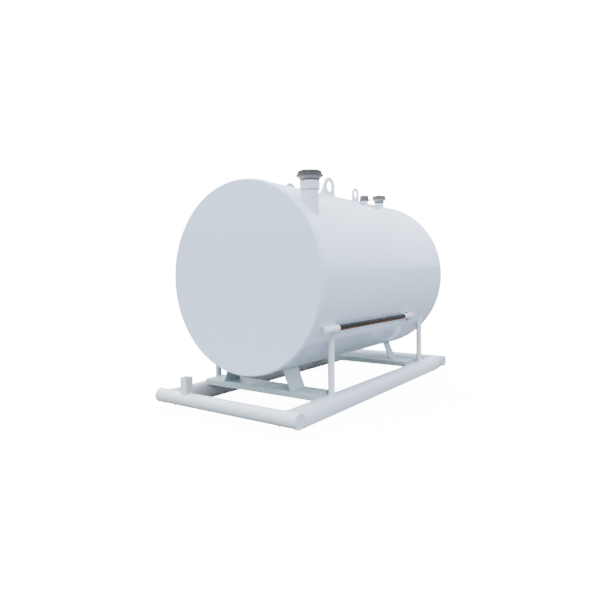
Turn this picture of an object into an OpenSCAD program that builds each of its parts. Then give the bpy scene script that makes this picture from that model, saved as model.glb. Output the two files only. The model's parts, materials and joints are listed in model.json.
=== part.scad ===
// Utility fuel tank: a horizontal steel tank with flat ends on a skid of round pipes.
// +Y runs along the tank, the front end faces -Y, +X is the side with the bar and the fill pipe.
// The origin is on the ground under the middle of the tank. Sizes are in millimetres.

/* [Tank] */
// Outer diameter of the tank
tank_d = 1219.2; // [1100:0.1:1350]
// Length over the two flat ends
tank_len = 1828.8; // [1750:0.1:2200]
// Thickness of the shell and end plates
plate_t = 4.8; // [3:0.1:8]
// Outer radius where an end plate turns into its rim
head_r = 12; // [9:0.5:20]
// Width of the rim of an end plate, along the tank
head_rim = 30; // [24:1:60]
// Height of the tank's underside above the ground
tank_lift = 235; // [215:1:300]

/* [Skid] */
// Outer diameter of the rails that the skid rests on
rail_d = 127; // [114:0.1:141]
// Wall of the rails
rail_wall = 6; // [4:0.1:8]
// Distance of a rail's axis in from the side of the tank
rail_in = 128; // [110:1:170]
// Length of a rail's sloped nose under an end pipe
nose_len = 93; // [75:1:140]
// Thickness of the plate that closes a nose
nose_t = 6; // [4:0.5:8]
// Outer diameter of the cross pipe at each end
end_pipe_d = 88.9; // [80:0.1:95]
// Wall of the end pipes
end_pipe_wall = 5.5; // [3:0.1:8]
// Length of an end pipe past the side of a rail
end_pipe_over = 25; // [10:1:60]
// Distance from a tank end to the axis of the end pipe outside it
end_pipe_out = 177; // [130:1:260]
// Height of an end pipe's underside above the ground
end_pipe_lift = 39; // [34:1:46]
// Thickness of the plate that closes the end of a pipe
end_plate_t = 5; // [3:0.5:8]

/* [Saddles] */
// Width of the saddle channels, along the tank
channel_w = 180; // [172:1:220]
// Depth of the channel flanges
channel_h = 38; // [32:0.5:60]
// Plate thickness of the channels
channel_t = 6.4; // [4:0.1:8]
// Outer corner radius of the channels
channel_r = 10; // [9:0.5:14]
// Height of a channel's top over the rails
channel_rise = 22; // [10:1:28]
// Gap between the end of a channel and a post
channel_gap = 4; // [1:0.5:8]
// Distance from the front end of the tank to the middle of the front channel
front_channel_in = 216; // [180:1:300]
// Distance from the rear end of the tank to the middle of the rear channel
rear_channel_in = 310; // [200:1:400]
// Thickness of the leaning saddle legs
leg_t = 9.5; // [6:0.5:12]
// Width of a front leg, along the tank
front_leg_w = 152; // [120:1:170]
// Width of a rear leg, along the tank
rear_leg_w = 100; // [80:1:170]
// Distance of a leg's foot from the middle of the tank
leg_foot_x = 284; // [240:1:320]
// Angle by which a leg leans inwards
leg_angle = 23; // [10:1:35]
// Outer diameter of the posts between the rails and the tank
post_d = 42.2; // [33:0.1:60]
// Wall of the posts
post_wall = 3.6; // [2.5:0.1:6]
// Distance from the front end of the tank to the front posts
post_front_in = 276; // [60:1:500]
// Distance from the rear end of the tank to the rear posts
post_rear_in = 184; // [60:1:500]

/* [Side bar] */
// Outer diameter of the bar
bar_d = 33.4; // [26:0.1:36]
// Wall of the bar
bar_wall = 3.4; // [2:0.1:5]
// Length of the bar between its sleeves
bar_show = 998; // [700:1:1100]
// Distance of the bar's axis below the tank's axis
bar_drop = 303; // [200:1:340]
// Distance from the front end of the tank to the front sleeve
sleeve_in = 88; // [60:1:160]
// Outer diameter of the sleeves that hold the bar
sleeve_d = 42.2; // [42:0.1:50]
// Length of the front sleeve
front_sleeve_len = 150; // [100:1:180]
// Outer radius of the front sleeve's closed end
sleeve_end_r = 16; // [8:1:20]
// Thickness of the front sleeve's closed end
sleeve_end_t = 10; // [8:0.5:14]
// Depth that the bar enters the front sleeve
socket_deep = 60; // [30:1:80]
// Length of the rear sleeve
rear_sleeve_len = 52; // [40:1:120]
// Diameter of the plate that closes the rear sleeve
rear_plate_d = 78; // [60:1:100]
// Thickness of the plate that closes the rear sleeve
rear_plate_t = 6; // [4:0.5:10]

/* [Tow socket] */
// Width of the square tube on the front pipe
stub_w = 54; // [46:0.5:66]
// Wall of the square tube
stub_wall = 5; // [3:0.5:8]
// Height of the square tube's top over the front pipe
stub_rise = 101; // [60:1:140]
// Distance of the square tube left of the middle
stub_x = 313; // [200:1:380]

/* [Fill pipe] */
// Outer diameter of the fill pipe
fill_d = 101.6; // [88:0.1:108]
// Wall of the fill pipe
fill_wall = 5.7; // [3:0.1:8]
// Distance of the fill pipe's axis in from the side of the tank
fill_side = 174; // [160:1:300]
// Distance of the fill pipe behind the front end
fill_in = 138; // [120:1:300]
// Height of the fill pipe's top over the shell at its axis
fill_rise = 135; // [110:1:200]
// Outer diameter of the collar on the fill pipe
collar_d = 117; // [114:0.1:124]
// Height of the collar
collar_h = 48; // [30:1:60]
// Outer diameter of the fill cap's flange
fill_cap_d = 160; // [150:1:175]
// Outer diameter of the fill cap's lid
fill_lid_d = 139; // [128:1:146]
// Height of the fill cap
fill_cap_h = 56; // [50:1:70]
// Thickness of the fill cap's top
fill_cap_t = 8; // [5:1:12]

/* [Vents] */
// Outer diameter of the large vent's neck
vent_d = 73; // [64:0.1:80]
// Distance of the large vent right of the middle
vent_x = 171; // [100:1:240]
// Distance of the large vent from the rear end
vent_in = 278; // [200:1:330]
// Height of the large vent's neck over the shell
vent_neck_h = 20; // [16:1:60]
// Diameter of the large vent's cap
vent_cap_d = 112; // [100:1:130]
// Height of the large vent's cap
vent_cap_h = 60; // [50:1:80]
// Outer diameter of the small vent's neck
gauge_d = 60.3; // [48:0.1:66]
// Distance of the small vent right of the middle
gauge_x = 171; // [100:1:220]
// Distance of the small vent behind the middle of the tank
gauge_back = 377; // [350:1:420]
// Height of the small vent's neck over the shell
gauge_neck_h = 12; // [10:1:40]
// Diameter of the small vent's cap
gauge_cap_d = 70; // [68:1:80]
// Height of the small vent's cap
gauge_cap_h = 42; // [36:1:60]
// Wall of both vent necks
neck_wall = 4; // [3:0.1:6]

/* [Lifting lugs] */
// Thickness of the lugs
lug_t = 12.7; // [8:0.1:16]
// Distance of the lugs from the middle of the tank
lug_x = 172; // [140:1:220]
// Width of a front lug, along the tank
front_lug_w = 128; // [110:1:150]
// Diameter of a front lug's hole
front_hole_d = 76; // [50:1:84]
// Height of a front lug's hole over the shell
front_hole_h = 60; // [55:1:90]
// Angle by which a front lug's front edge slopes
front_lug_slope = 32; // [0:1:40]
// Distance of the front lugs before the middle of the tank
front_lug_ahead = 147; // [100:1:400]
// Width of a rear lug, along the tank
rear_lug_w = 88; // [80:1:110]
// Diameter of a rear lug's hole
rear_hole_d = 54; // [30:1:60]
// Height of a rear lug's hole over the shell
rear_hole_h = 52; // [44:1:80]
// Distance of the rear lugs behind the middle of the tank
rear_lug_back = 232; // [100:1:270]

/* [Hidden] */
$fn = 96;
// Gap left where a curved face seats
seat = 0.2;
// Length by which a cut runs past the solid that it cuts
past = 20;
// Distance by which a lug's sloped edge starts inside its round top
edge_in = 1;
tank_r = tank_d/2;
axis_z = tank_lift + tank_r;
front_y = -tank_len/2;
rear_y = tank_len/2;
shell_len = tank_len - 2*head_rim;
rail_x = tank_r - rail_in;
rail_gap = 2*rail_x;
end_pipe_y = rear_y + end_pipe_out;
end_pipe_z = end_pipe_lift + end_pipe_d/2;
end_pipe_len = rail_gap + rail_d + 2*end_pipe_over;
nose_angle = atan(end_pipe_lift/nose_len);
channel_len = rail_gap - post_d - 2*channel_gap;
channel_top = rail_d + channel_rise;
front_channel_y = front_y + front_channel_in;
rear_channel_y = rear_y - rear_channel_in;
leg_high = axis_z - channel_top;
leg_lean = leg_high*tan(leg_angle);
sleeve_y = front_y + sleeve_in;
bar_x = sqrt(pow(tank_r + sleeve_d/2 + seat, 2) - pow(bar_drop, 2));
bar_z = axis_z - bar_drop;
bar_y = sleeve_y + front_sleeve_len - socket_deep;
rear_sleeve_y = sleeve_y + front_sleeve_len + bar_show;
rear_sleeve_end = rear_sleeve_y + rear_sleeve_len;
bar_len = rear_sleeve_end - rear_plate_t - seat - bar_y;
fill_x = tank_r - fill_side;
fill_y = front_y + fill_in;
vent_y = rear_y - vent_in;
rust = "#4a3328";
white = "#dfe3e6";
dark = "#4b4f54";

// Height of the shell's outside over the ground at a distance x from the middle
function shell_z(x) = axis_z + sqrt(tank_r*tank_r - x*x);

fill_top = shell_z(fill_x) + fill_rise;

// A cylinder along Y that starts at y
module along_y(d, len, y) translate([0, y, 0]) rotate([-90, 0, 0]) cylinder(d = d, h = len);

// A pipe along Y that starts at y
module pipe_y(d, wall, len, y)
  difference() {
    along_y(d, len, y);
    along_y(d - 2*wall, len + 2*past, y - past);
  }

// A pipe along Z that stands at height z
module pipe_z(d, wall, len, z)
  translate([0, 0, z]) difference() {
    cylinder(d = d, h = len);
    translate([0, 0, -past]) cylinder(d = d - 2*wall, h = len + 2*past);
  }

// The outside of the tank, grown by a gap
module tank_space(gap)
  translate([0, 0, axis_z]) along_y(tank_d + 2*gap, tank_len + 2*past, front_y - past);

// A square with round corners, centred
module round_rect(w, h, r)
  union() {
    square([w - 2*r, h], center = true);
    square([w, h - 2*r], center = true);
    for (sx = [-1, 1], sy = [-1, 1]) translate([sx*(w/2 - r), sy*(h/2 - r)]) circle(r = r);
  }

module tank_shell()
  color(white) difference() {
    translate([0, 0, axis_z]) pipe_y(tank_d, plate_t, shell_len, -shell_len/2);
    port(fill_d, fill_x, fill_y);
    port(vent_d, vent_x, vent_y);
    port(gauge_d, gauge_x, gauge_back);
  }

// The hole in the shell for an upright pipe
module port(d, x, y) translate([x, y, axis_z]) cylinder(d = d + 2*seat, h = tank_d);

// Half section of an end plate: flat disc, round turn and rim
module head_section()
  difference() {
    union() {
      square([tank_r - head_r, head_rim]);
      translate([0, head_r]) square([tank_r, head_rim - head_r]);
      translate([tank_r - head_r, head_r]) circle(r = head_r);
    }
    translate([-past, plate_t + head_r]) square([tank_r - plate_t + past, head_rim]);
    translate([-past, plate_t]) square([tank_r - head_r + past, head_rim]);
    translate([tank_r - head_r, head_r]) intersection() {
      circle(r = head_r - plate_t);
      translate([-head_r, -head_r]) square(2*head_r);
    }
    translate([tank_r - head_r - past, head_r]) square([head_r - plate_t + past, head_rim]);
    translate([-tank_r - past, -past]) square([tank_r + past, head_rim + 2*past]);
  }

module head(y, turn)
  color(white) translate([0, y, axis_z]) rotate([turn, 0, 0]) rotate_extrude() head_section();

module front_head() head(front_y, -90);
module rear_head() head(rear_y, 90);

// The outside of the end pipe at one end, grown by the seat gap
module end_pipe_space(end)
  translate([-end_pipe_len/2, end*end_pipe_y, end_pipe_z]) rotate([0, 90, 0])
    cylinder(d = end_pipe_d + 2*seat, h = end_pipe_len);

module end_pipe(end)
  color(white) translate([0, end*end_pipe_y, end_pipe_z]) rotate([0, 0, 90])
    pipe_y(end_pipe_d, end_pipe_wall, end_pipe_len - 2*end_plate_t, -end_pipe_len/2 + end_plate_t);

module front_end_pipe() end_pipe(-1);
module rear_end_pipe() end_pipe(1);

module end_plate(side, end)
  color(white) translate([side*(end_pipe_len - end_plate_t)/2, end*end_pipe_y, end_pipe_z])
    rotate([0, 90, 0]) cylinder(d = end_pipe_d, h = end_plate_t, center = true);

module front_left_end_plate() end_plate(-1, -1);
module front_right_end_plate() end_plate(1, -1);
module rear_left_end_plate() end_plate(-1, 1);
module rear_right_end_plate() end_plate(1, 1);

// The space under the sloped nose at one end, raised by a thickness
module nose_space(end, t)
  mirror([0, (1 - end)/2, 0]) translate([0, end_pipe_y - nose_len, 0]) rotate([nose_angle, 0, 0])
    translate([-end_pipe_len/2, -rail_d, t - rail_d]) cube([end_pipe_len, 3*rail_d, rail_d]);

// The outside of a rail, grown by a gap
module rail_space(side, gap)
  translate([side*rail_x, 0, rail_d/2]) along_y(rail_d + 2*gap, 2*end_pipe_y, -end_pipe_y);

// A pipe cut to fit round the end pipes, with its lower ends sloped
module rail(side)
  color(white) difference() {
    translate([side*rail_x, 0, rail_d/2]) pipe_y(rail_d, rail_wall, 2*end_pipe_y, -end_pipe_y);
    for (end = [-1, 1]) {
      end_pipe_space(end);
      nose_space(end, nose_t);
    }
  }

module left_rail() rail(-1);
module right_rail() rail(1);

// The plate that closes the sloped end of a rail
module nose(side, end)
  color(white) difference() {
    intersection() {
      rail_space(side, 0);
      nose_space(end, nose_t);
    }
    nose_space(end, 0);
    end_pipe_space(end);
  }

module front_left_nose() nose(-1, -1);
module front_right_nose() nose(1, -1);
module rear_left_nose() nose(-1, 1);
module rear_right_nose() nose(1, 1);

// Section of a saddle channel, web on top
module channel_section()
  difference() {
    intersection() {
      translate([0, -channel_h]) round_rect(channel_w, 2*channel_h, channel_r);
      translate([-channel_w, -channel_h]) square([2*channel_w, channel_h]);
    }
    translate([0, -channel_h - channel_t])
      round_rect(channel_w - 2*channel_t, 2*channel_h, channel_r - channel_t);
  }

// A channel that reaches from rail to rail, its flanges cut to sit on them
module channel(y)
  color(white) difference() {
    translate([-channel_len/2, y, channel_top]) rotate([90, 0, 90])
      linear_extrude(channel_len) channel_section();
    for (side = [-1, 1]) rail_space(side, seat);
  }

module front_channel() channel(front_channel_y);
module rear_channel() channel(rear_channel_y);

// A flat plate that leans from a channel to the shell and starts at y
module leg(side, y, w)
  color(white) difference() {
    translate([0, y + w, channel_top]) rotate([90, 0, 0]) linear_extrude(w)
      polygon([for (p = [[leg_foot_x - leg_t, 0], [leg_foot_x, 0], [leg_foot_x - leg_lean, leg_high],
        [leg_foot_x - leg_t - leg_lean, leg_high]]) [side*p[0], p[1]]]);
    tank_space(seat);
  }

// The front legs stand at the front edge of their channel and the rear legs at the rear edge
module front_leg(side) leg(side, front_channel_y - channel_w/2, front_leg_w);
module rear_leg(side) leg(side, rear_channel_y + channel_w/2 - rear_leg_w, rear_leg_w);

module front_left_leg() front_leg(-1);
module front_right_leg() front_leg(1);
module rear_left_leg() rear_leg(-1);
module rear_right_leg() rear_leg(1);

// An upright pipe from the top of a rail to the shell
module post(side, y)
  color(white) difference() {
    translate([side*rail_x, y, 0]) pipe_z(post_d, post_wall, axis_z - rail_d/2, rail_d/2);
    rail_space(side, seat);
    tank_space(seat);
  }

module front_left_post() post(-1, front_y + post_front_in);
module front_right_post() post(1, front_y + post_front_in);
module rear_left_post() post(-1, rear_y - post_rear_in);
module rear_right_post() post(1, rear_y - post_rear_in);

// Half section of the front sleeve: a tube with a round closed end
module sleeve_section()
  difference() {
    union() {
      square([sleeve_d/2 - sleeve_end_r, front_sleeve_len]);
      translate([0, sleeve_end_r]) square([sleeve_d/2, front_sleeve_len - sleeve_end_r]);
      intersection() {
        translate([sleeve_d/2 - sleeve_end_r, sleeve_end_r]) circle(r = sleeve_end_r);
        square(sleeve_d);
      }
    }
    translate([0, sleeve_end_t]) square([bar_d/2 + seat, front_sleeve_len]);
  }

module front_sleeve()
  color(white) translate([bar_x, sleeve_y, bar_z]) rotate([-90, 0, 0]) rotate_extrude() sleeve_section();

// A short tube closed by a round plate that is cut to sit on the shell
module rear_sleeve()
  color(white) difference() {
    translate([bar_x, 0, bar_z]) difference() {
      union() {
        along_y(sleeve_d, rear_sleeve_len - rear_plate_t, rear_sleeve_y);
        along_y(rear_plate_d, rear_plate_t, rear_sleeve_end - rear_plate_t);
      }
      along_y(bar_d + 2*seat, rear_sleeve_len, rear_sleeve_y - rear_plate_t);
    }
    tank_space(seat);
  }

module side_bar()
  color(rust) translate([bar_x, 0, bar_z]) pipe_y(bar_d, bar_wall, bar_len, bar_y);

// A square tube, open at the top, cut to sit on the front pipe
module tow_socket()
  color(white) difference() {
    translate([-stub_x, -end_pipe_y, end_pipe_z]) linear_extrude(end_pipe_d/2 + stub_rise)
      difference() {
        square(stub_w, center = true);
        square(stub_w - 2*stub_wall, center = true);
      }
    end_pipe_space(-1);
  }

// An upright pipe that passes through the shell and ends inside it
module neck(d, wall, x, y, top_z) {
  low_z = axis_z + sqrt(pow(tank_r - plate_t, 2) - pow(x + d/2, 2)) - past;
  color(white) translate([x, y, 0]) pipe_z(d, wall, top_z - low_z, low_z);
}

module fill_pipe() neck(fill_d, fill_wall, fill_x, fill_y, fill_top);

module fill_collar()
  color(white) translate([fill_x, fill_y, 0])
    pipe_z(collar_d, (collar_d - fill_d)/2 - seat, collar_h, fill_top - collar_h);

// Half section of the fill cap: tapered skirt, thin flange and lid, hollow over the pipe
module fill_cap_section()
  difference() {
    polygon([[0, 0], [collar_d/2 - fill_wall, 0], [fill_lid_d/2, fill_cap_h*0.5],
      [fill_cap_d/2, fill_cap_h*0.54], [fill_cap_d/2, fill_cap_h*0.64], [fill_lid_d/2, fill_cap_h*0.68],
      [fill_lid_d/2 - fill_cap_t/4, fill_cap_h*0.88], [fill_lid_d/2 - fill_cap_t, fill_cap_h],
      [0, fill_cap_h]]);
    square([fill_d/2 - fill_wall, fill_cap_h - fill_cap_t]);
  }

module fill_cap()
  color(dark) translate([fill_x, fill_y, fill_top]) rotate_extrude() fill_cap_section();

module vent_neck() neck(vent_d, neck_wall, vent_x, vent_y, shell_z(vent_x) + vent_neck_h);

// Half section of the large vent: waist, barrel-shaped rain cap and hollow inside
module vent_section()
  difference() {
    polygon([[0, 0], [vent_d/2 - neck_wall/2, 0], [vent_d/2 - neck_wall/2, vent_cap_h*0.28],
      [vent_cap_d/2 - neck_wall, vent_cap_h*0.44], [vent_cap_d/2, vent_cap_h*0.54],
      [vent_cap_d/2, vent_cap_h*0.68], [vent_cap_d*0.42, vent_cap_h], [0, vent_cap_h]]);
    square([vent_d/2 - neck_wall*2, vent_cap_h - neck_wall*2]);
  }

module vent_cap()
  color(dark) translate([vent_x, vent_y, shell_z(vent_x) + vent_neck_h])
    rotate_extrude() vent_section();

module gauge_neck() neck(gauge_d, neck_wall, gauge_x, gauge_back, shell_z(gauge_x) + gauge_neck_h);

// Half section of the small vent's cap, hollow inside
module gauge_section()
  difference() {
    polygon([[0, 0], [gauge_cap_d/2, 0], [gauge_cap_d/2, gauge_cap_h*0.8],
      [gauge_cap_d/2 - neck_wall, gauge_cap_h], [0, gauge_cap_h]]);
    square([gauge_d/2 - neck_wall, gauge_cap_h - neck_wall*2]);
  }

module gauge_cap()
  color(dark) translate([gauge_x, gauge_back, shell_z(gauge_x) + gauge_neck_h])
    rotate_extrude() gauge_section();

// An upright plate with a round top, a hole and a sloped front edge, cut to sit on the shell
module lug(side, y, w, hole_d, hole_h, slope) {
  deep = hole_h + w;
  edge_z = (w/2 - edge_in)*sin(slope);
  edge_y = -(w/2 - edge_in)*cos(slope);
  foot_y = edge_y - (deep + edge_z)*tan(slope);
  color(white) difference() {
    translate([side*lug_x - lug_t/2, y, shell_z(lug_x) + hole_h]) rotate([0, 90, 0]) linear_extrude(lug_t)
      difference() {
        union() {
          circle(d = w);
          translate([0, -w/2]) square([deep, w]);
          if (slope > 0) polygon([[-edge_z, edge_y], [deep, foot_y], [deep, 0], [0, 0]]);
        }
        circle(d = hole_d);
      }
    tank_space(seat);
  }
}

module front_lug(side)
  lug(side, -front_lug_ahead, front_lug_w, front_hole_d, front_hole_h, front_lug_slope);
module rear_lug(side) lug(side, rear_lug_back, rear_lug_w, rear_hole_d, rear_hole_h, 0);

module front_left_lug() front_lug(-1);
module front_right_lug() front_lug(1);
module rear_left_lug() rear_lug(-1);
module rear_right_lug() rear_lug(1);

tank_shell();
front_head();
rear_head();
front_end_pipe();
rear_end_pipe();
front_left_end_plate();
front_right_end_plate();
rear_left_end_plate();
rear_right_end_plate();
left_rail();
right_rail();
front_left_nose();
front_right_nose();
rear_left_nose();
rear_right_nose();
front_channel();
rear_channel();
front_left_leg();
front_right_leg();
rear_left_leg();
rear_right_leg();
front_left_post();
front_right_post();
rear_left_post();
rear_right_post();
front_sleeve();
rear_sleeve();
side_bar();
tow_socket();
fill_pipe();
fill_collar();
fill_cap();
vent_neck();
vent_cap();
gauge_neck();
gauge_cap();
front_left_lug();
front_right_lug();
rear_left_lug();
rear_right_lug();
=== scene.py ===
import bpy
import bmesh
import json
import math
from mathutils import Matrix, Vector


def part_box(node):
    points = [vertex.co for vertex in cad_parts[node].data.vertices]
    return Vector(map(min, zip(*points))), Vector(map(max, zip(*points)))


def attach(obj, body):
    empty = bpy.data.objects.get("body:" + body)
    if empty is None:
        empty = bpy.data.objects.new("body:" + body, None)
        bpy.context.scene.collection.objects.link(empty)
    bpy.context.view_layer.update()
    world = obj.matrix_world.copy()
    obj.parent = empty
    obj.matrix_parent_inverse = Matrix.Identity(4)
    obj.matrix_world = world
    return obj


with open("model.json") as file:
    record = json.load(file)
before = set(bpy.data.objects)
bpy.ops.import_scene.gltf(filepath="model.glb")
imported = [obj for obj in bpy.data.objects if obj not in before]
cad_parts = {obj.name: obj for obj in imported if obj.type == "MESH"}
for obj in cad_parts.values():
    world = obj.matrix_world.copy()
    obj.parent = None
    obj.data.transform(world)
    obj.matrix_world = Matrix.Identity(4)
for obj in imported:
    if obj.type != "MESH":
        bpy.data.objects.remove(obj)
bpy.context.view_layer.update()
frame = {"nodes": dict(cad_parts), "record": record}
nodes = frame["nodes"]
scene = bpy.context.scene
print("frame loaded:", len(nodes), "nodes")


def middle(name):  # centre of a node's box
    low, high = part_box(name)
    return (low + high) / 2


def extent(name):  # size of a node's box
    low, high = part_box(name)
    return high - low


def onAxis(name, share):  # on a node's upright axis, at a share of its height
    low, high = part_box(name)
    return Vector(((low.x + high.x) / 2, (low.y + high.y) / 2, low.z + share * (high.z - low.z)))


# sizes read from the frame, in metres
tankRadius = extent("tank_shell").x / 2
tankAxis = middle("tank_shell").z
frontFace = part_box("front_head")[0].y
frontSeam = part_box("tank_shell")[0].y
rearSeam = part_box("tank_shell")[1].y
railRadius = extent("right_rail").x / 2
railX = middle("right_rail").x
railZ = railRadius
endPipeRadius = extent("front_end_pipe").z / 2
endPipeZ = middle("front_end_pipe").z
endPipeY = middle("rear_end_pipe").y
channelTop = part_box("front_channel")[1].z


def shellHeight(x):  # how far the shell is above the tank's axis at x
    return math.sqrt(max(tankRadius ** 2 - x ** 2, 0))


# camera

photoCamera = {
    "side": 2.10689,        # right of the tank's axis
    "before": 2.30011,      # in front of the front end
    "over": 0.01883,        # above the tank's axis
    "azimuth": 35.73,       # degrees
    "tilt": 2.90,           # degrees down
    "roll": -0.85,          # degrees
    "focalPixels": 501.05,  # at the image width below
    "imageWidth": 600,
}


def makeCamera(look):
    az, tilt, roll = (math.radians(look[k]) for k in ("azimuth", "tilt", "roll"))
    forward = -Vector((math.sin(az) * math.cos(tilt), -math.cos(az) * math.cos(tilt), math.sin(tilt)))
    right = forward.cross(Vector((0, 0, 1))).normalized()
    up = right.cross(forward)
    rolledRight = math.cos(roll) * right + math.sin(roll) * up
    rolledUp = -math.sin(roll) * right + math.cos(roll) * up
    data = bpy.data.cameras.new("photoCamera")
    data.sensor_width = 36
    data.lens = data.sensor_width * look["focalPixels"] / look["imageWidth"]
    camera = bpy.data.objects.new("photoCamera", data)
    turn = Matrix((rolledRight, rolledUp, -forward)).transposed().to_4x4()
    place = Vector((look["side"], frontFace - look["before"], tankAxis + look["over"]))
    camera.matrix_world = Matrix.Translation(place) @ turn
    scene.collection.objects.link(camera)
    scene.camera = camera


makeCamera(photoCamera)
print("camera placed")


# node helpers

def addNode(tree, kind, inputs=None, **settings):
    node = tree.nodes.new(kind)
    for name, value in settings.items():
        setattr(node, name, value)
    for name, value in (inputs or {}).items():
        if isinstance(value, bpy.types.NodeSocket):
            tree.links.new(value, node.inputs[name])
        else:
            node.inputs[name].default_value = value
    return node


def maths(tree, operation, first, second=0.0, clamp=False):
    node = addNode(tree, "ShaderNodeMath", {0: first, 1: second}, operation=operation, use_clamp=clamp)
    return node.outputs[0]


def remap(tree, value, fromLow, fromHigh, toLow=0.0, toHigh=1.0):
    node = addNode(tree, "ShaderNodeMapRange", {"Value": value, "From Min": fromLow, "From Max": fromHigh,
                                                "To Min": toLow, "To Max": toHigh}, clamp=True)
    return node.outputs["Result"]


def mixColour(tree, share, first, second):
    node = addNode(tree, "ShaderNodeMix", {0: share, 6: first, 7: second}, data_type="RGBA")
    return node.outputs[2]


def shaderGroup(name, inputs, outputs):
    group = bpy.data.node_groups.new(name, "ShaderNodeTree")
    for label, value in inputs.items():
        socket = group.interface.new_socket(label, in_out="INPUT", socket_type="NodeSocketFloat")
        socket.default_value = value
    for label in outputs:
        group.interface.new_socket(label, in_out="OUTPUT", socket_type="NodeSocketFloat")
    return group, addNode(group, "NodeGroupInput"), addNode(group, "NodeGroupOutput")


def useGroup(tree, group, **values):
    node = addNode(tree, "ShaderNodeGroup", node_tree=group)
    for label, value in values.items():
        spaced = "".join(" " + c if c.isupper() else c for c in label)  # peelScale sets Peel Scale
        node.inputs[spaced[0].upper() + spaced[1:]].default_value = value
    return node


def noise(tree, scale, detail=2.0, roughness=0.5, stretch=None):
    where = addNode(tree, "ShaderNodeTexCoord").outputs["Object"]
    if stretch:
        where = addNode(tree, "ShaderNodeMapping", {"Vector": where, "Scale": stretch}).outputs["Vector"]
    node = addNode(tree, "ShaderNodeTexNoise", {"Vector": where, "Scale": scale, "Detail": detail,
                                                "Roughness": roughness})
    return node.outputs["Fac"]


def whereOnPart(tree):  # X, Y and Z in metres
    where = addNode(tree, "ShaderNodeTexCoord").outputs["Object"]
    return addNode(tree, "ShaderNodeSeparateXYZ", {"Vector": where}).outputs


def facing(tree):  # X, Y and Z of the way that the surface faces
    normal = addNode(tree, "ShaderNodeNewGeometry").outputs["Normal"]
    return addNode(tree, "ShaderNodeSeparateXYZ", {"Vector": normal}).outputs


def addBump(tree, shader, height):
    bump = addNode(tree, "ShaderNodeBump", {"Height": height, "Distance": 1.0, "Strength": 1.0})
    tree.links.new(bump.outputs["Normal"], shader.inputs["Normal"])


# shared surface effects

def makePaintSkin():  # sprayed paint: fine peel over slow waves of the sheet
    group, entry, leave = shaderGroup(
        "paintSkin", {"Peel Scale": 420, "Peel Depth": 0.00003, "Wave Scale": 2.2, "Wave Depth": 0.0006},
        ("Height", "Gloss"))
    peel = maths(group, "MULTIPLY", noise(group, entry.outputs["Peel Scale"], 1), entry.outputs["Peel Depth"])
    wave = maths(group, "MULTIPLY", noise(group, entry.outputs["Wave Scale"], 1), entry.outputs["Wave Depth"])
    group.links.new(maths(group, "ADD", peel, wave), leave.inputs["Height"])
    group.links.new(noise(group, 9, 3), leave.inputs["Gloss"])
    return group


def makeGrimeAndShade():  # dust low down, faint runs, and painted shade on the faces turned inwards
    group, entry, leave = shaderGroup(
        "grime", {"Dust Height": 0.25, "Dust Amount": 0.3, "Run Amount": 0.2, "Inner Amount": 0.0}, ("Mask",))
    where = whereOnPart(group)
    low = remap(group, where["Z"], entry.outputs["Dust Height"], 0.0)
    blotch = remap(group, noise(group, 14, 6, 0.65), 0.38, 0.72)
    dust = maths(group, "MULTIPLY", maths(group, "MULTIPLY", low, entry.outputs["Dust Amount"]),
                 maths(group, "ADD", blotch, 0.35))
    runs = remap(group, noise(group, 1, 4, 0.55, (34, 34, 1.6)), 0.56, 0.8)
    patch = remap(group, noise(group, 1.7, 2), 0.42, 0.7)
    run = maths(group, "MULTIPLY", maths(group, "MULTIPLY", runs, patch), entry.outputs["Run Amount"])
    towards = maths(group, "MULTIPLY", maths(group, "SIGN", where["X"]), facing(group)["X"])
    inner = remap(group, towards, 0.1, -0.75)  # painted shade on the faces turned to the space under the tank
    paintedShade = maths(group, "MULTIPLY", inner, entry.outputs["Inner Amount"])
    dirt = maths(group, "ADD", maths(group, "ADD", dust, run), paintedShade, clamp=True)
    group.links.new(dirt, leave.inputs["Mask"])
    return group


def makeChips():  # paint knocked off along edges and in a few specks
    group, entry, leave = shaderGroup(
        "chips", {"Edge Width": 0.003, "Edge Amount": 0.6, "Speck Amount": 0.3}, ("Mask",))
    rounded = addNode(group, "ShaderNodeBevel", {"Radius": entry.outputs["Edge Width"]}, samples=4)
    plain = addNode(group, "ShaderNodeNewGeometry")
    along = addNode(group, "ShaderNodeVectorMath", {0: rounded.outputs["Normal"], 1: plain.outputs["Normal"]},
                    operation="DOT_PRODUCT").outputs["Value"]
    edge = remap(group, along, 0.97, 0.82)
    broken = remap(group, noise(group, 60, 5, 0.7), 0.52, 0.58)
    edges = maths(group, "MULTIPLY", maths(group, "MULTIPLY", edge, broken), entry.outputs["Edge Amount"])
    speck = remap(group, noise(group, 75, 3, 0.6), 0.735, 0.76)
    specks = maths(group, "MULTIPLY", speck, entry.outputs["Speck Amount"])
    group.links.new(maths(group, "MAXIMUM", edges, specks), leave.inputs["Mask"])
    return group


paintSkin = makePaintSkin()
grime = makeGrimeAndShade()
chips = makeChips()


# materials

def newMaterial(name):
    material = bpy.data.materials.new(name)
    material.use_nodes = True
    tree = material.node_tree
    return material, tree, tree.nodes["Principled BSDF"]


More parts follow.
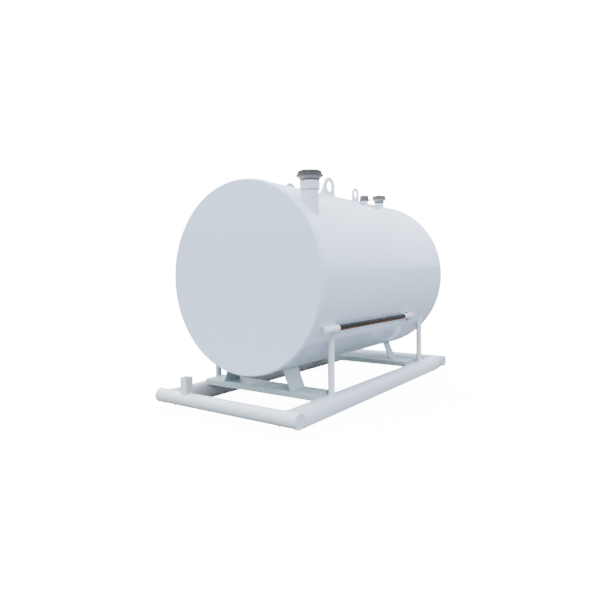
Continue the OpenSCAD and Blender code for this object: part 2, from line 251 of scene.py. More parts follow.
paintLooks = {
    "tankPaint": {"colour": (0.71, 0.79, 0.93, 1), "dirt": (0.42, 0.42, 0.40, 1), "gloss": (0.26, 0.40),
                  "waves": 0.0004, "dust": 0.08, "runs": 0.015, "edges": 0.0, "specks": 0.0, "coat": 0.9},
    "skidPaint": {"colour": (0.74, 0.79, 0.83, 1), "dirt": (0.38, 0.36, 0.31, 1), "gloss": (0.32, 0.5),
                  # inner: painted shade on the faces turned under the tank
                  "waves": 0.0002, "dust": 0.22, "runs": 0.10, "inner": 0.8, "edges": 0.35, "specks": 0.25,
                  "coat": 0.3},
    # painted shade: a darker, bluer copy of the skid paint for parts in the tank's shade; inner paints more
    # shade on their inward faces
    "shadedSkidPaint": {"colour": (0.60, 0.635, 0.71, 1), "dirt": (0.30, 0.30, 0.28, 1), "gloss": (0.34, 0.5),
                  "waves": 0.0002, "dust": 0.15, "runs": 0.10, "inner": 0.85, "edges": 0.35, "specks": 0.25,
                  "coat": 0.25},
    # painted shade: darker, greener paint on the legs and channels for the shade under the tank and green
    # bounce from grass
    "shadedSaddlePaint": {"colour": (0.38, 0.46, 0.455, 1), "dirt": (0.30, 0.31, 0.27, 1), "gloss": (0.4, 0.55),
                    "waves": 0.0003, "dust": 0.35, "runs": 0.2, "edges": 0.4, "specks": 0.35, "coat": 0.15},
    "weldPaint": {"colour": (0.72, 0.77, 0.81, 1), "dirt": (0.38, 0.33, 0.27, 1), "gloss": (0.34, 0.52),
                  "waves": 0.0, "dust": 0.25, "runs": 0.2, "edges": 0.0, "specks": 0.4, "coat": 0.2},
}
wearLook = {
    "chip": (0.17, 0.105, 0.07, 1), "chipDepth": 0.00015,  # primer and first rust
    "chipRough": 0.4, "dirtRough": 0.3,  # added to the paint's roughness
    "toneScale": 1.1, "toneShare": 0.12, "toneShade": 0.9,  # slow change of tone
    "coatRough": 0.05,
}


def makePaint(name, look, wear):
    material, tree, shader = newMaterial(name)
    skin = useGroup(tree, paintSkin, waveDepth=look["waves"])
    # one mask of dust, runs and painted shade on the inward faces; its dark colour paints both dirt and shade
    dirt = useGroup(tree, grime, dustAmount=look["dust"], runAmount=look["runs"],
                    innerAmount=look.get("inner", 0.0)).outputs["Mask"]
    worn = useGroup(tree, chips, edgeAmount=look["edges"], speckAmount=look["specks"]).outputs["Mask"]
    tone = remap(tree, noise(tree, wear["toneScale"], 2), 0.3, 0.7, 0.0, wear["toneShare"])
    shade = tuple(c * wear["toneShade"] for c in look["colour"][:3]) + (1,)
    paint = mixColour(tree, tone, look["colour"], shade)
    dirtiedAndShaded = mixColour(tree, dirt, paint, look["dirt"])
    tree.links.new(mixColour(tree, worn, dirtiedAndShaded, wear["chip"]), shader.inputs["Base Color"])
    rough = remap(tree, skin.outputs["Gloss"], 0.3, 0.7, *look["gloss"])
    rough = maths(tree, "ADD", rough, maths(tree, "MULTIPLY", dirt, wear["dirtRough"]))
    rough = maths(tree, "ADD", rough, maths(tree, "MULTIPLY", worn, wear["chipRough"]), clamp=True)
    tree.links.new(rough, shader.inputs["Roughness"])
    chipped = maths(tree, "MULTIPLY", worn, wear["chipDepth"])
    addBump(tree, shader, maths(tree, "SUBTRACT", skin.outputs["Height"], chipped))
    shader.inputs["Coat Weight"].default_value = look["coat"]
    shader.inputs["Coat Roughness"].default_value = wear["coatRough"]
    return material


capLook = {"colour": (0.092, 0.084, 0.074, 1), "scuff": (0.20, 0.20, 0.20, 1),
           "dust": (0.28, 0.28, 0.27, 1)}
fillCapLook = {"colour": (0.066, 0.055, 0.050, 1), "scuff": (0.18, 0.17, 0.16, 1),
               "dust": (0.20, 0.19, 0.18, 1), "skirt": (0.30, 0.285, 0.275, 1),
               "gasket": (0.045, 0.046, 0.05, 1), "node": "fill_cap"}
ventLook = dict(capLook, skirt=(0.30, 0.32, 0.30, 1), gasket=(0.10, 0.105, 0.10, 1), node="vent_cap")
enamelLook = {
    "lidFoot": (0.47, 0.53), "gasketTop": (0.10, 0.16),  # shares of the cap's height
    "peelScale": 650, "peelDepth": 0.00006, "gloss": (0.45, 0.62),
    "edgeWidth": 0.002, "edges": 0.10, "specks": 0.08,
    "dustScale": 40, "dustShare": (0.05, 0.25),
}


def makeCapPaint(name, look, enamel):  # dark enamel, scuffed at its edges and dusty on top
    material, tree, shader = newMaterial(name)
    colour = look["colour"]
    if "skirt" in look:  # bare casting below the lid, with a dark ring at its foot
        foot, top = (corner.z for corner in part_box(look["node"]))
        share = remap(tree, whereOnPart(tree)["Z"], foot, top)
        colour = mixColour(tree, remap(tree, share, *enamel["lidFoot"]), look["skirt"], colour)
        colour = mixColour(tree, remap(tree, share, *enamel["gasketTop"]), look["gasket"], colour)
    skin = useGroup(tree, paintSkin, peelScale=enamel["peelScale"], peelDepth=enamel["peelDepth"],
                    waveDepth=0.0)
    worn = useGroup(tree, chips, edgeWidth=enamel["edgeWidth"], edgeAmount=enamel["edges"],
                    speckAmount=enamel["specks"]).outputs["Mask"]
    patches = remap(tree, noise(tree, enamel["dustScale"], 5, 0.6), 0.35, 0.75, *enamel["dustShare"])
    settled = maths(tree, "MULTIPLY", remap(tree, facing(tree)["Z"], 0.4, 1.0), patches)
    scuffed = mixColour(tree, worn, colour, look["scuff"])
    tree.links.new(mixColour(tree, settled, scuffed, look["dust"]), shader.inputs["Base Color"])
    tree.links.new(remap(tree, skin.outputs["Gloss"], 0.3, 0.7, *enamel["gloss"]), shader.inputs["Roughness"])
    addBump(tree, shader, skin.outputs["Height"])
    return material


rustLook = {
    "scale": (0.005, 0.004, 0.004, 1), "rust": (0.13, 0.058, 0.030, 1), "pale": (0.21, 0.11, 0.062, 1),
    "over": 0.006, "foot": 0.004,  # rust starts above the bar's middle and is full above its foot
    "patchScale": 26, "patchStretch": (1, 0.45, 1), "patchShare": 0.5, "underShare": 0.75,
    "flakeScale": 130, "pitScale": 240, "pitDepth": 0.0002, "rustDepth": 0.0006,
    "rough": (0.5, 0.9), "specular": 0.14,
}


def makeBarRust(name, look):  # black scale above, rust coming through below
    material, tree, shader = newMaterial(name)
    low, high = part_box("side_bar")
    under = remap(tree, whereOnPart(tree)["Z"], (low.z + high.z) / 2 + look["over"], low.z + look["foot"])
    patches = noise(tree, look["patchScale"], 6, 0.7, look["patchStretch"])
    amount = maths(tree, "ADD", maths(tree, "MULTIPLY", patches, look["patchShare"]),
                   maths(tree, "MULTIPLY", under, look["underShare"]))
    rusting = remap(tree, amount, 0.56, 0.74)
    flaking = remap(tree, noise(tree, look["flakeScale"], 4, 0.7), 0.5, 0.72)
    rust = mixColour(tree, flaking, look["rust"], look["pale"])
    tree.links.new(mixColour(tree, rusting, look["scale"], rust), shader.inputs["Base Color"])
    tree.links.new(remap(tree, rusting, 0, 1, *look["rough"]), shader.inputs["Roughness"])
    depth = maths(tree, "ADD", maths(tree, "MULTIPLY", rusting, look["rustDepth"]), look["pitDepth"])
    addBump(tree, shader, maths(tree, "MULTIPLY", noise(tree, look["pitScale"], 5, 0.7), depth))
    shader.inputs["Specular IOR Level"].default_value = look["specular"]
    return material


steelLook = {"steel": (0.10, 0.10, 0.10, 1), "rust": (0.16, 0.08, 0.05, 1), "spotScale": 300,
             "rough": (0.4, 0.75), "metal": 0.5}


def makeDarkSteel(name, look):  # the pin: dull steel with rust in its pits
    material, tree, shader = newMaterial(name)
    spots = remap(tree, noise(tree, look["spotScale"], 4, 0.6), 0.5, 0.75)
    tree.links.new(mixColour(tree, spots, look["steel"], look["rust"]), shader.inputs["Base Color"])
    tree.links.new(remap(tree, spots, 0, 1, *look["rough"]), shader.inputs["Roughness"])
    shader.inputs["Metallic"].default_value = look["metal"]
    return material


paints = {name: makePaint(name, look, wearLook) for name, look in paintLooks.items()}
capPaints = {
    "gauge_cap": makeCapPaint("capPaint", capLook, enamelLook),
    "fill_cap": makeCapPaint("fillCapPaint", fillCapLook, enamelLook),
    "vent_cap": makeCapPaint("ventPaint", ventLook, enamelLook),
}
barRust = makeBarRust("barRust", rustLook)
darkSteel = makeDarkSteel("darkSteel", steelLook)
shadedNames = ("_rail", "_end_plate", "left_post", "rear_end_pipe")  # in the darker, bluer paint, which paints shade into their colour

for part in frame["record"]["subparts"]:
    name, mesh = part["node"], nodes[part["node"]].data
    if name in capPaints:
        look = capPaints[name]
    elif name == "side_bar":
        look = barRust
    elif part["material_slot"] == "tank_paint":
        look = paints["tankPaint"]
    # legs and channels get the saddle paint, which has painted shade in its colour
    elif name.endswith(("_leg", "_channel")):
        look = paints["shadedSaddlePaint"]
    else:
        look = paints["shadedSkidPaint" if name.endswith(shadedNames) else "skidPaint"]
    mesh.materials.clear()
    mesh.materials.append(look)


# geometry node helpers

def nodeTree(name, inputs):
    tree = bpy.data.node_groups.new(name, "GeometryNodeTree")
    tree.interface.new_socket("Geometry", in_out="INPUT", socket_type="NodeSocketGeometry")
    for label, (kind, value) in inputs.items():
        socket = tree.interface.new_socket(label, in_out="INPUT", socket_type="NodeSocket" + kind)
        if value is not None:
            socket.default_value = value
    tree.interface.new_socket("Geometry", in_out="OUTPUT", socket_type="NodeSocketGeometry")
    return tree, addNode(tree, "NodeGroupInput"), addNode(tree, "NodeGroupOutput")


def meshObject(name, points, edges=(), faces=()):
    mesh = bpy.data.meshes.new(name)
    mesh.from_pydata([tuple(p) for p in points], edges, faces)
    obj = bpy.data.objects.new(name, mesh)
    scene.collection.objects.link(obj)
    return obj


def bake(obj, tree, slotName, **values):  # runs a tree on an object and keeps the plain mesh
    modifier = obj.modifiers.new("nodes", "NODES")
    modifier.node_group = tree
    sockets = {item.name.replace(" ", "").lower(): item.identifier
               for item in tree.interface.items_tree if item.item_type == "SOCKET" and item.in_out == "INPUT"}
    for label, value in values.items():
        modifier[sockets[label.lower()]] = value
    bpy.context.view_layer.update()
    made = bpy.data.meshes.new_from_object(obj.evaluated_get(bpy.context.evaluated_depsgraph_get()))
    obj.modifiers.clear()
    obj.data = made
    made.name = obj.name
    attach(obj, "root")
    print(" ", obj.name, len(made.polygons), "faces")
    return obj


# mesh helpers

def turns(count):  # angles of a full circle
    return [2 * math.pi * i / count for i in range(count)]


def joinRows(shape, rows, closed=False):  # faces between rows of points, a row of one point being a pole
    for low, high in zip(rows, rows[1:] + rows[:1] if closed else rows[1:]):
        count = max(len(low), len(high))
        for i in range(count):
            j = (i + 1) % count
            quad = [low[i % len(low)], low[j % len(low)], high[j % len(high)], high[i % len(high)]]
            shape.faces.new(list(dict.fromkeys(quad)))


def spun(shape, centre, profile, count):  # a solid of revolution about an upright axis
    joinRows(shape, [[shape.verts.new(centre + Vector((r * math.cos(t), r * math.sin(t), z)))
                      for t in turns(count if r > 0 else 1)] for r, z in profile])


def finishPiece(name, shape, material, smooth=False):
    mesh = bpy.data.meshes.new(name)
    for face in shape.faces:
        face.smooth = smooth
    shape.to_mesh(mesh)
    shape.free()
    mesh.materials.append(material)
    obj = bpy.data.objects.new(name, mesh)
    scene.collection.objects.link(obj)
    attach(obj, "root")
    print(" ", name, len(mesh.polygons), "faces")
    return obj


# weld beads

def makeWeldTree():  # overlapping ripples along a path
    tree, entry, leave = nodeTree("weldBead", {
        "Bead Radius": ("Float", 0.005), "Ripple Step": ("Float", 0.004), "Flatness": ("Float", 0.6),
        "Seed": ("Int", 3), "Material": ("Material", None)})
    path = addNode(tree, "GeometryNodeMeshToCurve", {"Mesh": entry.outputs["Geometry"]})
    steps = addNode(tree, "GeometryNodeResampleCurve",
                    {"Curve": path.outputs[0], "Length": entry.outputs["Ripple Step"]}, mode="LENGTH")
    ripple = addNode(tree, "GeometryNodeMeshIcoSphere",
                     {"Radius": entry.outputs["Bead Radius"], "Subdivisions": 1})
    tangent = addNode(tree, "GeometryNodeInputTangent")
    turn = addNode(tree, "FunctionNodeAlignRotationToVector", {"Vector": tangent.outputs[0]}, axis="Z")
    size = addNode(tree, "FunctionNodeRandomValue",  # no two ripples quite the same width
                   {"Min": 0.82, "Max": 1.12, "Seed": entry.outputs["Seed"]}, data_type="FLOAT")
    across = size.outputs["Value"] if size.outputs["Value"].enabled else size.outputs[1]
    scale = addNode(tree, "ShaderNodeCombineXYZ", {"X": across, "Y": across, "Z": entry.outputs["Flatness"]})
    beads = addNode(tree, "GeometryNodeInstanceOnPoints",
                    {"Points": steps.outputs[0], "Instance": ripple.outputs["Mesh"],
                     "Rotation": turn.outputs[0], "Scale": scale.outputs[0]})
    solid = addNode(tree, "GeometryNodeRealizeInstances", {"Geometry": beads.outputs[0]})
    smooth = addNode(tree, "GeometryNodeSetShadeSmooth", {"Geometry": solid.outputs[0]})
    paint = addNode(tree, "GeometryNodeSetMaterial",
                    {"Geometry": smooth.outputs[0], "Material": entry.outputs["Material"]})
    tree.links.new(paint.outputs[0], leave.inputs["Geometry"])
    return tree


weldTree = makeWeldTree()
weldLook = {
    "seam": 0.0026, "fillet": 0.0055, "small": 0.004, "thin": 0.0025,  # bead radii
    "step": 0.75, "flatness": 0.62,  # ripples, in bead radii
    "ringSteps": 72, "seamSteps": 160, "saddleSteps": 60, "footSteps": 6, "socketSteps": 8,
    "saddleStart": -0.16, "saddleTurn": 1.32,  # part of the rail's round that is welded, in half turns
    "legThick": 0.0095,
    "sleeveSpread": 0.016, "sleeveLift": 0.0015,  # radians either side of the bar, and metres off the shell
}
ringAngles = turns(weldLook["ringSteps"])


def ring(points):  # closed path
    return points + [points[0]]


def girthSeam(y):  # round the shell's edge
    return ring([Vector((tankRadius * math.cos(t), y, tankAxis + tankRadius * math.sin(t)))
                 for t in turns(weldLook["seamSteps"])])


def ringOnShell(name, lower=False):  # where an upright pipe meets the shell
    centre, radius = middle(name), extent(name).x / 2
    side = -1 if lower else 1
    points = []
    for t in ringAngles:
        x, y = centre.x + radius * math.cos(t), centre.y + radius * math.sin(t)
        points.append(Vector((x, y, tankAxis + side * shellHeight(x))))
    return ring(points)


def ringOnRail(name):  # where a post stands on its rail
    centre, radius = middle(name), extent(name).x / 2
    points = []
    for t in ringAngles:
        dx = radius * math.cos(t)
        points.append(Vector((centre.x + dx, centre.y + radius * math.sin(t),
                              railZ + math.sqrt(railRadius ** 2 - dx ** 2))))
    return ring(points)


def railSaddle(side, end):  # where a rail is cut round an end pipe
    points, count = [], weldLook["saddleSteps"]
    for i in range(count + 1):
        t = math.pi * (weldLook["saddleStart"] + weldLook["saddleTurn"] * i / count)
        x, z = side * railX + railRadius * math.cos(t), railZ + railRadius * math.sin(t)
        reach = math.sqrt(max(endPipeRadius ** 2 - (z - endPipeZ) ** 2, 0))
        points.append(Vector((x, end * (endPipeY - reach), z)))
    return points


def pipeEnd(name):  # round the plate in the end of a pipe
    low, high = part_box(name)
    centre, radius = (low + high) / 2, extent(name).z / 2
    x = low.x if centre.x > 0 else high.x
    return ring([Vector((x, centre.y + radius * math.cos(t), centre.z + radius * math.sin(t)))
                 for t in ringAngles])


def legLines(name):  # foot on the channel and head on the shell
    low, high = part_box(name)
    side = 1 if middle(name).x > 0 else -1
    foot = high.x if side > 0 else low.x
    head = (low.x if side > 0 else high.x) + side * weldLook["legThick"]
    rise = tankAxis - shellHeight(head)
    return [[Vector((foot, low.y, channelTop)), Vector((foot, high.y, channelTop))],
            [Vector((head, low.y, rise)), Vector((head, high.y, rise))]]


def railTop(x):  # height of a rail's outside at x
    return railZ + math.sqrt(max(railRadius ** 2 - (railX - abs(x)) ** 2, 0))


def channelFoot(name, side):  # where a channel's flanges and end stand on a rail
    low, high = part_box(name)
    end = high.x * side
    start = side * (railX - math.sqrt(railRadius ** 2 - (low.z - railZ) ** 2))
    count = weldLook["footSteps"]
    steps = [start + (end - start) * i / count for i in range(count + 1)]
    return [[Vector((x, y, railTop(x))) for x in steps] for y in (low.y, high.y)] + [
        [Vector((end, low.y, railTop(end))), Vector((end, high.y, railTop(end)))]]


def lugLines(name):  # both sides of a lug's foot
    low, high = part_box(name)
    return [[Vector((x, y, tankAxis + shellHeight(x))) for y in (low.y, high.y)] for x in (low.x, high.x)]


def sleeveLines(name):  # above and below a sleeve, where it lies on the shell
    low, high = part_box(name)
    bar = middle("side_bar")
    angle = math.atan2(bar.z - tankAxis, bar.x)
    lines = []
    for side in (-1, 1):
        a = angle + side * weldLook["sleeveSpread"]
        point = Vector((math.cos(a), 0, math.sin(a))) * (tankRadius + weldLook["sleeveLift"])
        lines.append([Vector((point.x, y, tankAxis + point.z)) for y in (low.y, high.y)])
    return lines


def socketFoot():  # round the square tube on the front pipe
    low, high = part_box("tow_socket")
    cy, half = (low.y + high.y) / 2, (high.y - low.y) / 2

    def onPipe(x, y):
        return Vector((x, y, endPipeZ + math.sqrt(endPipeRadius ** 2 - (y - cy) ** 2)))
    count = weldLook["socketSteps"]
    along = [cy - half + 2 * half * i / count for i in range(count + 1)]
    return ring([onPipe(low.x, y) for y in along] + [onPipe(high.x, y) for y in reversed(along)])


def weldPaths(name, paths, bead, look="weldPaint", slotName="skid_paint"):
    points, edges = [], []
    for path in paths:
        start = len(points)
        points += path
        edges += [(start + i, start + i + 1) for i in range(len(path) - 1)]
    obj = meshObject(name, points, edges)
    return bake(obj, weldTree, slotName, beadRadius=bead, rippleStep=bead * weldLook["step"],
                flatness=weldLook["flatness"], seed=len(points), material=paints[look])


corners = [(f"{end}_{side}", x, y) for end, y in (("front", -1), ("rear", 1))
           for side, x in (("left", -1), ("right", 1))]
print("weld beads")
weldPaths("tankSeams", [girthSeam(frontSeam), girthSeam(rearSeam)], weldLook["seam"],
          "tankPaint", "tank_paint")
weldPaths("postWelds", [path for c, x, y in corners
                        for path in (ringOnShell(c + "_post", True), ringOnRail(c + "_post"))],
          weldLook["fillet"])
# the saddle welds take the saddle paint, with its painted shade
weldPaths("saddleWelds", [line for c, x, y in corners for line in legLines(c + "_leg")]
          + [line for n in ("front_channel", "rear_channel") for side in (-1, 1)
             for line in channelFoot(n, side)],
          weldLook["fillet"], "shadedSaddlePaint")
weldPaths("skidWelds", [railSaddle(x, y) for c, x, y in corners], weldLook["fillet"])
weldPaths("pipeEndWelds", [pipeEnd(c + "_end_plate") for c, x, y in corners], weldLook["thin"])
weldPaths("fittingWelds", [ringOnShell(n) for n in ("fill_pipe", "vent_neck", "gauge_neck")]
          + [line for c, x, y in corners for line in lugLines(c + "_lug")]
          + [line for n in ("front_sleeve", "rear_sleeve") for line in sleeveLines(n)]
          + [socketFoot()], weldLook["small"])


# plates that close the channels' ends

endLook = {"thick": 0.005, "wall": 0.0066, "inset": 0.0004, "seat": 0.0003, "edge": 0.0008}


def makeChannelEnds(look):
    shape = bmesh.new()
    for name in ("front_channel", "rear_channel"):
        low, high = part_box(name)
        near, far, top = low.y + look["wall"], high.y - look["wall"], high.z - look["wall"]
        for side in (-1, 1):
            faces = []
            for x in (side * (high.x - look["inset"]), side * (high.x - look["thick"])):
                foot = railTop(x) + look["seat"]
                faces.append([shape.verts.new((x, y, z))
                              for y, z in ((near, foot), (far, foot), (far, top), (near, top))])
            outer, inner = faces
            shape.faces.new(outer)
            shape.faces.new(reversed(inner))
            for i in range(len(outer)):
                j = (i + 1) % len(outer)
                shape.faces.new((outer[j], outer[i], inner[i], inner[j]))
    bmesh.ops.recalc_face_normals(shape, faces=shape.faces)
    bmesh.ops.bevel(shape, geom=list(shape.edges), offset=look["edge"], segments=2, affect="EDGES")
    # the channel end plates take the saddle paint, with its painted shade
    return finishPiece("channelEnds", shape, paints["shadedSaddlePaint"])


print("plates, pin and cap details")
makeChannelEnds(endLook)


# pin through the collar, just before the rear sleeve

pinLook = {
    "radius": 0.0055, "above": 0.007, "below": 0.014, "before": 0.004, "turns": 20,
    "tipTaper": 0.6, "tip": 0.003,  # rounding of both ends
    "headRadius": 0.0085, "headLift": 0.002, "headThick": 0.003, "headSlope": 0.001,
    "ringRadius": 0.009, "ringWire": 0.0014, "ringDrop": 0.006, "ringTurns": 18, "wireTurns": 8,
}


def makePin(look):
    shape = bmesh.new()
    bar = middle("side_bar")
    tube = extent("front_sleeve").z / 2
    centre = Vector((bar.x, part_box("rear_sleeve")[0].y - look["before"], bar.z))
    r, h, narrow = look["radius"], look["headRadius"], look["radius"] * look["tipTaper"]
    top, bottom = tube + look["above"], -tube - look["below"]
    headFoot = tube + look["headLift"]
    headTop = headFoot + look["headThick"]
    spun(shape, centre, [(0, bottom), (narrow, bottom), (r, bottom + look["tip"]), (r, headFoot),
                         (h, headFoot), (h, headTop), (r, headTop + look["headSlope"]),
                         (r, top - look["tip"]), (narrow, top), (0, top)], look["turns"])
    hang = centre + Vector((0, 0, bottom + look["ringDrop"] - look["ringRadius"]))
    loops = []
    for t in turns(look["ringTurns"]):  # split ring hanging from the pin's foot
        out = Vector((0, math.cos(t), math.sin(t)))
        loops.append([shape.verts.new(hang + out * look["ringRadius"] + look["ringWire"] * (
            math.cos(u) * out + Vector((math.sin(u), 0, 0)))) for u in turns(look["wireTurns"])])
    joinRows(shape, loops, True)
    bmesh.ops.recalc_face_normals(shape, faces=shape.faces)
    return finishPiece("sleevePin", shape, darkSteel, True)


makePin(pinLook)


# collar that the bar runs through, before the rear sleeve

collarLook = {"length": 0.056, "lip": 0.0015, "bore": 0.0003, "turns": 40}


def makeBarCollar(look):
    shape = bmesh.new()
    bar, back = middle("side_bar"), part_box("rear_sleeve")[0].y
    outer, inner = extent("front_sleeve").z / 2, extent("side_bar").z / 2 + look["bore"]
    front, lip = back - look["length"], look["lip"]
    profile = [(inner, front), (outer - lip, front), (outer, front + lip), (outer, back), (inner, back)]
    joinRows(shape, [[shape.verts.new((bar.x + r * math.cos(t), y, bar.z + r * math.sin(t)))
                      for t in turns(look["turns"])] for r, y in profile], True)
    bmesh.ops.recalc_face_normals(shape, faces=shape.faces)
    return finishPiece("barCollar", shape, paints["skidPaint"], True)


makeBarCollar(collarLook)


# flat tops of the two wide caps

topLooks = {"fillLidTop": {"node": "fill_cap", "radius": 0.0705, "depth": 0.012},
            "ventTop": {"node": "vent_cap", "radius": 0.0555, "depth": 0.009}}
rimLook = {"foot": 0.001, "edge": 0.0015, "rise": 0.0005, "width": 0.008, "slope": 0.002, "dish": -0.001,
           "turns": 64}


def makeCapTop(name, look, rim):
    shape = bmesh.new()
    radius, depth = look["radius"], look["depth"]
    inner = radius - rim["width"]
    spun(shape, onAxis(look["node"], 1), [
        (0, -depth), (radius - rim["foot"], -depth), (radius, rim["foot"] - depth),
        (radius, -rim["edge"]), (radius - rim["edge"], rim["rise"]),
        (inner, rim["rise"]), (inner - rim["slope"], rim["dish"]), (0, rim["dish"])], rim["turns"])
    bmesh.ops.recalc_face_normals(shape, faces=shape.faces)
    finishPiece(name, shape, capPaints[look["node"]])


for name, look in topLooks.items():
    makeCapTop(name, look, rimLook)


# ribs and bars round the caps

def makeRingTree(name, upright):  # copies of one small part round a circle
    tree, entry, leave = nodeTree(name, {
        "Centre": ("Vector", (0, 0, 0)), "Radius": ("Float", 0.05), "Count": ("Int", 24),
        "Part Size": ("Vector", (1, 1, 1)), "Material": ("Material", None)})
    circle = addNode(tree, "GeometryNodeMeshCircle",
                     {"Vertices": entry.outputs["Count"], "Radius": entry.outputs["Radius"]})
    if upright:
        part = addNode(tree, "GeometryNodeMeshCylinder", {"Vertices": 8, "Radius": 0.5, "Depth": 1.0})
    else:
        part = addNode(tree, "GeometryNodeMeshIcoSphere", {"Radius": 0.5, "Subdivisions": 2})
    where = addNode(tree, "GeometryNodeInputPosition")
    turn = addNode(tree, "FunctionNodeAlignRotationToVector", {"Vector": where.outputs[0]},
                   axis="X", pivot_axis="Z")
    copies = addNode(tree, "GeometryNodeInstanceOnPoints",
                     {"Points": circle.outputs["Mesh"], "Instance": part.outputs["Mesh"],
                      "Rotation": turn.outputs[0], "Scale": entry.outputs["Part Size"]})
    solid = addNode(tree, "GeometryNodeRealizeInstances", {"Geometry": copies.outputs[0]})
    smooth = addNode(tree, "GeometryNodeSetShadeSmooth", {"Geometry": solid.outputs[0]})
    placed = addNode(tree, "GeometryNodeTransform",
                     {"Geometry": smooth.outputs[0], "Translation": entry.outputs["Centre"]})
    paint = addNode(tree, "GeometryNodeSetMaterial",
                    {"Geometry": placed.outputs[0], "Material": entry.outputs["Material"]})
    tree.links.new(paint.outputs[0], leave.inputs["Geometry"])
    return tree


ribTree = makeRingTree("gripRibs", False)
barTree = makeRingTree("ventBars", True)
ringLooks = {  # height is a share of the cap's, size is that of one part
    "lidRibs": {"node": "fill_cap", "tree": ribTree, "height": 0.70, "radius": 0.0688, "count": 28,
                "size": (0.005, 0.006, 0.011)},
    "smallCapGrips": {"node": "gauge_cap", "tree": ribTree, "height": 0.30, "radius": 0.0345, "count": 8,
                      "size": (0.007, 0.012, 0.024)},
    "ventGuard": {"node": "vent_cap", "tree": barTree, "height": 0.24, "radius": 0.0385, "count": 22,
                  "size": (0.0032, 0.0032, 0.022)},
}


def makeCapRing(name, look):
    centre = onAxis(look["node"], look["height"])
    bake(meshObject(name, [centre]), look["tree"], "dark_cap", centre=tuple(centre), radius=look["radius"],
         count=look["count"], partSize=look["size"], material=capPaints[look["node"]])


for name, look in ringLooks.items():
    makeCapRing(name, look)


# lever at the foot of the small cap

leverLook = {"from": 0.024, "to": 0.058, "root": 0.010, "tip": 0.008, "thick": 0.010, "height": 0.12,
             "bearing": 35.7, "edge": 0.002}


def makeCapLever(look):
    shape = bmesh.new()
    foot = onAxis("gauge_cap", look["height"])
    bearing = math.radians(look["bearing"])
    out = Vector((math.cos(bearing), math.sin(bearing), 0))
    across = Vector((-math.sin(bearing), math.cos(bearing), 0))
    outline = [(look["from"], -look["root"]), (look["to"] - look["tip"], -look["tip"])]
    outline += [(look["to"] - look["tip"] + look["tip"] * math.cos(t), look["tip"] * math.sin(t))
                for t in (-math.pi / 3, -math.pi / 6, 0, math.pi / 6, math.pi / 3)]
    outline += [(look["to"] - look["tip"], look["tip"]), (look["from"], look["root"])]
    face = shape.faces.new([shape.verts.new(foot + out * a + across * b) for a, b in outline])
    raised = bmesh.ops.extrude_face_region(shape, geom=[face])
    for item in raised["geom"]:
        if isinstance(item, bmesh.types.BMVert):
            item.co.z += look["thick"]
    bmesh.ops.recalc_face_normals(shape, faces=shape.faces)
    rims = [edge for edge in shape.edges if abs(edge.verts[0].co.z - edge.verts[1].co.z) < 1e-6]
    bmesh.ops.bevel(shape, geom=rims, offset=look["edge"], segments=2, affect="EDGES")
    return finishPiece("capLever", shape, capPaints["gauge_cap"])


makeCapLever(leverLook)


# stage

stageLook = {
    "floorSize": 60,
    "floorSeen": 13.0,                      # brightness of the floor as the camera sees it
    "floorBounce": (0.13, 0.135, 0.12, 1),  # what the floor throws back at the part
    "floorNear": (0.50, 0.50, 0.50, 1),     # painted pool of light: the same close beside the skid
    "floorUnder": (0.32, 0.33, 0.31, 1),    # painted shade: the same under the tank, dimmer than beside it
    "nearWidth": 0.26, "nearFade": 0.6,     # beside the rails, and the share of it that is full
    "underFade": 0.05, "endBefore": 0.1, "endPast": 0.05,
    "floorPale": (0.9, 0.9, 0.9, 1), "floorRough": 0.9,
    "backdrop": 16.5,
    "sky": (0.86, 0.96, 1.12, 1), "skyLow": 1.95, "skyHigh": 5.0, "skyline": 0.09, "haze": 0.01,
    "ground": (0.40, 0.45, 0.44, 1), "groundStrength": 0.95,
    "keyPower": 320, "keySize": 4.0, "keyPlace": (-4.2, -0.8, 5.4),
}


def showCamera(tree, others, camera, output):  # one shader for the camera's rays, one for all others
    ray = addNode(tree, "ShaderNodeLightPath").outputs["Is Camera Ray"]
    pick = addNode(tree, "ShaderNodeMixShader", {0: ray, 1: others.outputs[0], 2: camera.outputs[0]})
    tree.links.new(pick.outputs[0], tree.nodes[output].inputs["Surface"])


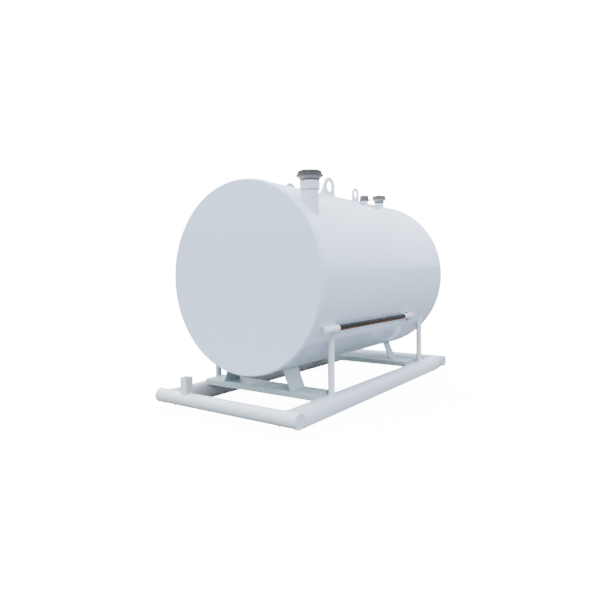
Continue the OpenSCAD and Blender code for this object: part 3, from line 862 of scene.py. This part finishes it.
def makeFloor(look):  # white to the camera, darker to everything else, with a painted pool of light beside the rails and painted shade under the tank
    half = look["floorSize"] / 2
    floor = meshObject("floor", [(-half, -half, 0), (half, -half, 0), (half, half, 0), (-half, half, 0)],
                       faces=[(0, 1, 2, 3)])
    material, tree, shader = newMaterial("floorPale")
    where = whereOnPart(tree)
    across, along = (maths(tree, "ABSOLUTE", where[axis]) for axis in ("X", "Y"))
    # painted light and shade in what the floor throws back: a lighter strip beside the rails, dimmer under
    # the tank
    beside = remap(tree, across, railX, railX + look["underFade"])
    near = mixColour(tree, beside, look["floorUnder"], look["floorNear"])
    wide = remap(tree, across, railX + look["nearWidth"] * look["nearFade"], railX + look["nearWidth"])
    long = remap(tree, along, endPipeY - look["endBefore"], endPipeY + look["endPast"])
    bounce = mixColour(tree, maths(tree, "MAXIMUM", wide, long), near, look["floorBounce"])
    tree.links.new(bounce, shader.inputs["Base Color"])
    shader.inputs["Roughness"].default_value = look["floorRough"]
    pale = addNode(tree, "ShaderNodeBsdfDiffuse", {"Color": look["floorPale"]})
    glow = addNode(tree, "ShaderNodeEmission", {"Color": (1, 1, 1, 1), "Strength": look["floorSeen"]})
    seen = addNode(tree, "ShaderNodeAddShader", {0: pale.outputs[0], 1: glow.outputs[0]})
    showCamera(tree, shader, seen, "Material Output")
    floor.data.materials.append(material)


def makeSky(look):  # overcast sky over dull ground, with a white backdrop for the camera
    world = bpy.data.worlds.new("studio")
    world.use_nodes = True
    tree = world.node_tree
    sky = tree.nodes["Background"]
    height = addNode(tree, "ShaderNodeSeparateXYZ",
                     {"Vector": addNode(tree, "ShaderNodeTexCoord").outputs["Generated"]}).outputs["Z"]
    above = remap(tree, height, look["skyline"] - look["haze"], look["skyline"] + look["haze"])
    tree.links.new(mixColour(tree, above, look["ground"], look["sky"]), sky.inputs["Color"])
    bright = remap(tree, height, 0.0, 1.0, look["skyLow"], look["skyHigh"])
    strength = addNode(tree, "ShaderNodeMix", {0: above, 2: look["groundStrength"], 3: bright},
                       data_type="FLOAT")
    tree.links.new(strength.outputs[0], sky.inputs["Strength"])
    backdrop = addNode(tree, "ShaderNodeBackground", {"Color": (1, 1, 1, 1), "Strength": look["backdrop"]})
    showCamera(tree, sky, backdrop, "World Output")
    scene.world = world


def makeKey(look):
    light = bpy.data.lights.new("keyLight", "AREA")
    light.energy, light.size = look["keyPower"], look["keySize"]
    key = bpy.data.objects.new("keyLight", light)
    key.location = look["keyPlace"]
    aim = Vector((0, 0, tankAxis)) - key.location
    key.rotation_euler = aim.to_track_quat("-Z", "Y").to_euler()
    scene.collection.objects.link(key)


makeFloor(stageLook)
makeSky(stageLook)
makeKey(stageLook)
print("stage set")
